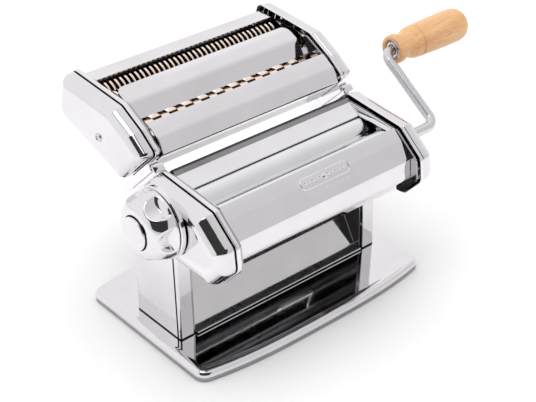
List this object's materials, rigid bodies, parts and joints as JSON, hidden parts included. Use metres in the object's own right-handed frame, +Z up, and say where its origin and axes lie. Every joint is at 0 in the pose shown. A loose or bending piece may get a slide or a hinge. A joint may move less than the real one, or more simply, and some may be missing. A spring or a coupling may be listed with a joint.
{
  "type": "pasta roller machine",
  "caption": "Manual pasta machine: crank-driven smooth rollers with a thickness knob, and a slide-on duplex cutter, on a chromed stand.",
  "frame": {"origin": "the middle of the bounding box, on the plane that the feet stand on", "axes": "+X towards the crank, -X towards the thickness knob, -Y the front where the dough goes in, +Z up"},
  "size_m": [0.3282, 0.1794, 0.165],
  "materials": {
    "chrome": "polished",
    "ramp_steel": "polished",
    "polished_steel": "polished",
    "roller_steel": "satin",
    "brass_steel": "satin",
    "dark_steel": "satin",
    "beech": "varnished",
    "rubber": "matte",
    "black_plastic": "matte"
  },
  "bodies": {
    "body": {"base": "chrome", "foot_front_left": "rubber", "foot_front_right": "rubber", "foot_back_left": "rubber", "foot_back_right": "rubber", "side_frame_left": "dark_steel", "side_frame_right": "dark_steel", "leg_left": "chrome", "leg_right": "chrome", "side_cover_left": "chrome", "side_cover_right": "chrome", "front_panel": "chrome", "rear_panel": "chrome", "exit_ramp": "ramp_steel", "tie_rod_front": "dark_steel", "tie_rod_back": "dark_steel", "scraper_front": "black_plastic", "scraper_rear": "black_plastic", "rail_left": "polished_steel", "rail_right": "polished_steel"},
    "front_roller": {"front_roller": "roller_steel", "front_roller_gear": "dark_steel", "front_drive_socket": "dark_steel"},
    "crank": {"crank_rod": "polished_steel"},
    "grip": {"grip_ferrule": "polished_steel", "grip": "beech"},
    "carriage": {"carriage_arm_left": "dark_steel", "carriage_arm_right": "dark_steel"},
    "rear_roller": {"rear_roller": "roller_steel", "rear_roller_gear": "dark_steel"},
    "regulator": {"regulator_shaft": "dark_steel"},
    "knob": {"knob_dial": "chrome", "knob_grip": "chrome", "knob_cap": "chrome"},
    "cutter_unit": {"cutter_cover_left": "chrome", "cutter_cover_right": "chrome", "cutter_end_left": "dark_steel", "cutter_end_right": "dark_steel", "cutter_front_panel": "chrome", "cutter_middle_panel": "chrome", "cutter_rear_panel": "chrome", "cutter_tie_rod": "dark_steel", "cutter_screw_left": "polished_steel", "cutter_screw_right": "polished_steel", "cutter_shoe_left": "polished_steel", "cutter_shoe_right": "polished_steel"},
    "fine_cutter_front": {"fine_cutter_front": "brass_steel", "fine_cutter_front_gear": "dark_steel"},
    "fine_cutter_rear": {"fine_cutter_rear": "brass_steel", "fine_cutter_rear_gear": "dark_steel", "fine_drive_socket": "dark_steel"},
    "wide_cutter_front": {"wide_cutter_front": "brass_steel", "wide_cutter_front_gear": "dark_steel"},
    "wide_cutter_rear": {"wide_cutter_rear": "brass_steel", "wide_cutter_rear_gear": "dark_steel", "wide_drive_socket": "dark_steel"}
  },
  "joints": [
    {"name": "front_roller_spin", "type": "hinge", "parent": "body", "child": "front_roller", "pos_m": [-0.0429, -0.0593, 0.1062], "axis": [1, 0, 0], "continuous": true},
    {"name": "crank_pull", "type": "slide", "parent": "front_roller", "child": "crank", "axis": [1, 0, 0], "range_m": [0, 0.03]},
    {"name": "grip_spin", "type": "hinge", "parent": "crank", "child": "grip", "pos_m": [0.0901, -0.00583, 0.14227], "axis": [1, 0, 0], "continuous": true},
    {"name": "thickness_turn", "type": "hinge", "parent": "body", "child": "regulator", "pos_m": [-0.1408, -0.0328, 0.1062], "axis": [-1, 0, 0], "range_deg": [0, 300]},
    {"name": "knob_pull", "type": "slide", "parent": "regulator", "child": "knob", "axis": [-1, 0, 0], "range_m": [0, 0.004], "stiffness_N_per_m": 400, "springref_m": -0.002},
    {"name": "thickness_slide", "type": "slide", "parent": "body", "child": "carriage", "axis": [0, 1, 0], "range_m": [0, 0.002]},
    {"name": "rear_roller_spin", "type": "hinge", "parent": "carriage", "child": "rear_roller", "pos_m": [-0.0429, -0.0328, 0.1062], "axis": [1, 0, 0], "continuous": true},
    {"name": "cutter_slide", "type": "slide", "parent": "body", "child": "cutter_unit", "axis": [0, -0.7071, 0.7071], "range_m": [0, 0.06]},
    {"name": "fine_cutter_rear_spin", "type": "hinge", "parent": "cutter_unit", "child": "fine_cutter_rear", "pos_m": [-0.0429, 0.0637, 0.1492], "axis": [1, 0, 0], "continuous": true},
    {"name": "fine_cutter_front_spin", "type": "hinge", "parent": "cutter_unit", "child": "fine_cutter_front", "pos_m": [-0.0429, 0.0467, 0.1492], "axis": [1, 0, 0], "continuous": true},
    {"name": "wide_cutter_rear_spin", "type": "hinge", "parent": "cutter_unit", "child": "wide_cutter_rear", "pos_m": [-0.0429, 0.0262, 0.134], "axis": [1, 0, 0], "continuous": true},
    {"name": "wide_cutter_front_spin", "type": "hinge", "parent": "cutter_unit", "child": "wide_cutter_front", "pos_m": [-0.0429, 0.0092, 0.134], "axis": [1, 0, 0], "continuous": true}
  ],
  "couplings": [
    {"joint": "rear_roller_spin", "follows": "front_roller_spin", "ratio": -1},
    {"joint": "thickness_slide", "follows": "thickness_turn", "m_per_rad": 0.00038},
    {"joint": "fine_cutter_front_spin", "follows": "fine_cutter_rear_spin", "ratio": -1},
    {"joint": "wide_cutter_front_spin", "follows": "wide_cutter_rear_spin", "ratio": -1}
  ]
}
